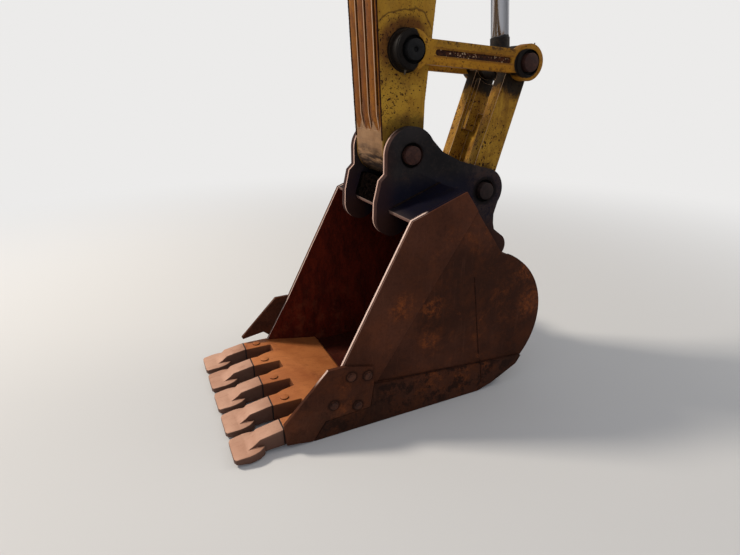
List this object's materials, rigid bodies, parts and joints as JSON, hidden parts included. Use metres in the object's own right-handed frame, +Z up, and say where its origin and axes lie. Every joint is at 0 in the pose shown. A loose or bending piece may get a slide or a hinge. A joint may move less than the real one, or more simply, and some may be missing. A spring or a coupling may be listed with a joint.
{
  "type": "excavator stick with digging bucket",
  "caption": "Stick of a crawler excavator with its digging bucket, side links, H link and bucket cylinder, joined by pins, worn and rusty.",
  "frame": {"origin": "centre of the bore that hangs the stick on the boom, on the centre plane", "axes": "+Z up with the stick hanging, +X away from the machine, +Y across to the machine's left"},
  "size_m": [1.7924, 1.006, 5.0559],
  "materials": {
    "stick_paint": "worn",
    "link_paint": "worn",
    "cylinder_paint": "worn",
    "chrome": "polished",
    "eye_steel": "greasy",
    "pin_steel": "rusty",
    "ear_paint": "worn",
    "bucket_rust": "rusty",
    "lip_rust": "rusty",
    "tooth_steel": "worn"
  },
  "bodies": {
    "stick": {"stick_side_left": "stick_paint", "stick_side_right": "stick_paint", "stick_front_plate": "stick_paint", "stick_rear_plate": "stick_paint", "stick_wear_bars": "stick_paint", "nose_boss": "stick_paint", "link_boss": "stick_paint", "boom_boss": "stick_paint", "tail_bosses": "stick_paint", "cylinder_lugs": "stick_paint", "link_pin_shaft": "pin_steel", "base_pin_shaft": "pin_steel"},
    "bucket": {"bucket_shell": "bucket_rust", "bucket_side_left": "bucket_rust", "bucket_side_right": "bucket_rust", "ear_left": "ear_paint", "ear_right": "ear_paint", "hinge_guard": "ear_paint", "bucket_pin_shaft": "pin_steel", "ear_pin_shaft": "pin_steel", "lifting_eye": "bucket_rust", "wear_straps": "bucket_rust", "side_bar_left": "bucket_rust", "side_bar_right": "bucket_rust", "side_wear_left": "bucket_rust", "side_wear_right": "bucket_rust", "side_cutter_left": "bucket_rust", "side_cutter_right": "bucket_rust", "lip": "lip_rust", "adapters": "lip_rust", "tooth_1": "tooth_steel", "tooth_2": "tooth_steel", "tooth_3": "tooth_steel", "tooth_4": "tooth_steel", "tooth_5": "tooth_steel"},
    "side_links": {"side_link_left": "link_paint", "side_link_right": "link_paint", "side_pin_ends": "pin_steel"},
    "h_link_frame": {"h_link": "link_paint", "h_link_pin_ends": "pin_steel"},
    "cylinder": {"barrel": "cylinder_paint", "barrel_ports": "cylinder_paint"},
    "piston_rod": {"rod": "chrome", "rod_eye": "eye_steel", "rod_eye_pin": "pin_steel"}
  },
  "joints": [
    {"name": "bucket_curl", "type": "hinge", "parent": "stick", "child": "bucket", "pos_m": [0.13, 0, -2.9], "axis": [0, 1, 0], "range_deg": [-70, 80]},
    {"name": "side_link_swing", "type": "hinge", "parent": "stick", "child": "side_links", "pos_m": [0.116, 0, -2.432], "axis": [0, 1, 0], "range_deg": [-52, 60]},
    {"name": "h_link_swing", "type": "hinge", "parent": "bucket", "child": "h_link_frame", "pos_m": [0.58694, 0, -3.11502], "axis": [0, 1, 0], "range_deg": [-56, 49]},
    {"name": "cylinder_swing", "type": "hinge", "parent": "stick", "child": "cylinder", "pos_m": [0.56, 0, -0.35], "axis": [0, 1, 0], "range_deg": [-3, 3]},
    {"name": "rod_stroke", "type": "slide", "parent": "cylinder", "child": "piston_rod", "axis": [0.1095, 0, -0.994], "range_m": [-0.52, 0.6]}
  ],
  "couplings": [
    {"joint": "side_link_swing", "follows": "bucket_curl", "ratio": 0.732},
    {"joint": "h_link_swing", "follows": "bucket_curl", "ratio": -0.692},
    {"joint": "cylinder_swing", "follows": "bucket_curl", "ratio": 0.03},
    {"joint": "rod_stroke", "follows": "bucket_curl", "m_per_rad": 0.4211}
  ]
}
